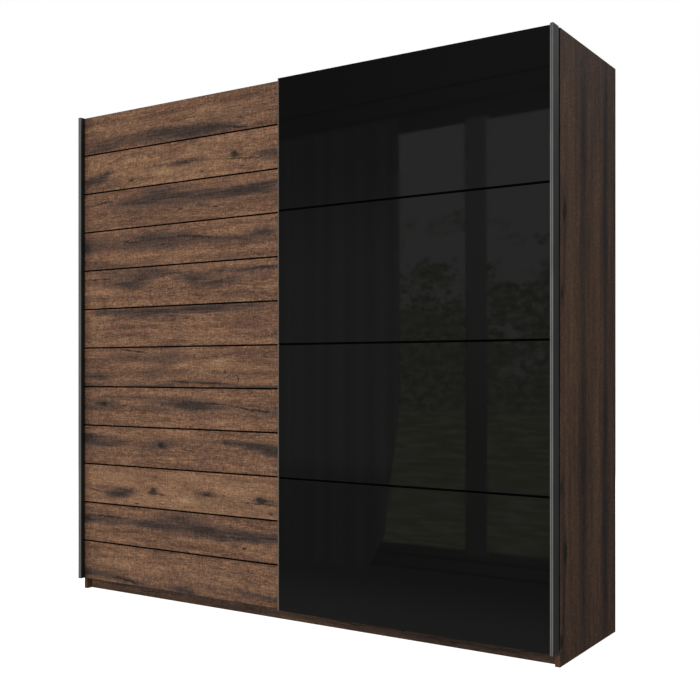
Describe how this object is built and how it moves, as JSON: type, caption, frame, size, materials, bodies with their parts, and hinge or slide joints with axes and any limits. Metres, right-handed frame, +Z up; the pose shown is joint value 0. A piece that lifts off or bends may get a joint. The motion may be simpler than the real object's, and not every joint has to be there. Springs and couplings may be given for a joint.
{
  "type": "sliding door wardrobe",
  "caption": "Wide floating-door wardrobe: a rustic oak plank door and a black glass door slide on a top track past a dark oak carcass with shelves and hanging rails.",
  "frame": {"origin": "centre of the wardrobe's footprint, on the floor", "axes": "+X to the right along the front, +Y to the back, +Z up; the doors face -Y"},
  "size_m": [2.25, 0.61, 2.1],
  "materials": {
    "oak_board": "dark rustic oak laminate, vertical grain",
    "oak_plank": "rustic brown oak laminate with dark bands and knots",
    "inner_board": "linen grey melamine",
    "back_board": "pale lacquered hardboard",
    "core_board": "black laminate",
    "joint_strip": "matte black",
    "graphite_profile": "graphite anodised, satin",
    "silver_trim": "silver anodised, satin",
    "black_glass": "black back-lacquered gloss",
    "zinc_steel": "zinc plated",
    "chrome_tube": "bright",
    "track_aluminium": "natural anodised",
    "rail_plastic": "dark grey moulded",
    "wheel_plastic": "pale grey acetal"
  },
  "bodies": {
    "carcass": {"side_panel_left": "oak_board", "side_panel_right": "oak_board", "top_panel": "inner_board", "bottom_panel": "inner_board", "plinth_front": "oak_board", "plinth_rear": "oak_board", "plinth_braces": "oak_board", "centre_partition": "inner_board", "back_panel_left": "back_board", "back_panel_right": "back_board", "hat_shelf_left": "inner_board", "hat_shelf_right": "inner_board", "shelf_divider": "inner_board", "shelf_lower": "inner_board", "shelf_upper": "inner_board", "hanging_rail_left": "chrome_tube", "hanging_rail_right": "chrome_tube", "rail_brackets": "zinc_steel", "shelf_pins": "zinc_steel", "top_track": "track_aluminium", "bottom_guide_rail": "rail_plastic", "track_end_stops": "rail_plastic", "carcass_fasteners": "zinc_steel"},
    "left_door": {"left_plank_01": "oak_plank", "left_plank_02": "oak_plank", "left_plank_03": "oak_plank", "left_plank_04": "oak_plank", "left_plank_05": "oak_plank", "left_plank_06": "oak_plank", "left_plank_07": "oak_plank", "left_plank_08": "oak_plank", "left_plank_09": "oak_plank", "left_plank_10": "oak_plank", "left_plank_11": "oak_plank", "left_plank_12": "oak_plank", "left_plank_joints": "joint_strip", "left_handle_profile": "graphite_profile", "left_inner_profile": "graphite_profile", "left_hangers": "zinc_steel", "left_guide_brackets": "zinc_steel", "left_door_screws": "zinc_steel"},
    "right_door": {"glass_pane_1": "black_glass", "glass_pane_2": "black_glass", "glass_pane_3": "black_glass", "glass_pane_4": "black_glass", "right_door_board": "core_board", "right_pane_joints": "joint_strip", "right_handle_profile": "graphite_profile", "right_edge_trim": "silver_trim", "right_hangers": "zinc_steel", "right_guide_brackets": "zinc_steel", "right_door_screws": "zinc_steel"},
    "left_wheel_1": {"left_wheel_1": "wheel_plastic"},
    "left_wheel_2": {"left_wheel_2": "wheel_plastic"},
    "right_wheel_1": {"right_wheel_1": "wheel_plastic"},
    "right_wheel_2": {"right_wheel_2": "wheel_plastic"},
    "left_guide_pin_1": {"left_guide_pin_1": "wheel_plastic"},
    "left_guide_pin_2": {"left_guide_pin_2": "wheel_plastic"},
    "right_guide_pin_1": {"right_guide_pin_1": "wheel_plastic"},
    "right_guide_pin_2": {"right_guide_pin_2": "wheel_plastic"}
  },
  "joints": [
    {"name": "left_door_slide", "type": "slide", "parent": "carcass", "child": "left_door", "axis": [1, 0, 0], "range_m": [0, 1.09]},
    {"name": "right_door_slide", "type": "slide", "parent": "carcass", "child": "right_door", "axis": [1, 0, 0], "range_m": [-1.09, 0]},
    {"name": "left_wheel_1_turn", "type": "hinge", "parent": "left_door", "child": "left_wheel_1", "pos_m": [-1.022, -0.23, 2.06905], "axis": [0, 1, 0], "continuous": true},
    {"name": "left_wheel_2_turn", "type": "hinge", "parent": "left_door", "child": "left_wheel_2", "pos_m": [-0.078, -0.23, 2.06905], "axis": [0, 1, 0], "continuous": true},
    {"name": "right_wheel_1_turn", "type": "hinge", "parent": "right_door", "child": "right_wheel_1", "pos_m": [0.0885, -0.203, 2.06905], "axis": [0, 1, 0], "continuous": true},
    {"name": "right_wheel_2_turn", "type": "hinge", "parent": "right_door", "child": "right_wheel_2", "pos_m": [1.032, -0.203, 2.06905], "axis": [0, 1, 0], "continuous": true},
    {"name": "left_guide_pin_1_press", "type": "slide", "parent": "left_door", "child": "left_guide_pin_1", "axis": [0, 0, 1], "range_m": [-0.006, 0], "stiffness_N_per_m": 60},
    {"name": "left_guide_pin_2_press", "type": "slide", "parent": "left_door", "child": "left_guide_pin_2", "axis": [0, 0, 1], "range_m": [-0.006, 0], "stiffness_N_per_m": 60},
    {"name": "right_guide_pin_1_press", "type": "slide", "parent": "right_door", "child": "right_guide_pin_1", "axis": [0, 0, 1], "range_m": [-0.006, 0], "stiffness_N_per_m": 60},
    {"name": "right_guide_pin_2_press", "type": "slide", "parent": "right_door", "child": "right_guide_pin_2", "axis": [0, 0, 1], "range_m": [-0.006, 0], "stiffness_N_per_m": 60}
  ],
  "couplings": [
    {"joint": "left_wheel_1_turn", "follows": "left_door_slide", "rad_per_m": 90.909},
    {"joint": "left_wheel_2_turn", "follows": "left_door_slide", "rad_per_m": 90.909},
    {"joint": "right_wheel_1_turn", "follows": "right_door_slide", "rad_per_m": 90.909},
    {"joint": "right_wheel_2_turn", "follows": "right_door_slide", "rad_per_m": 90.909}
  ]
}
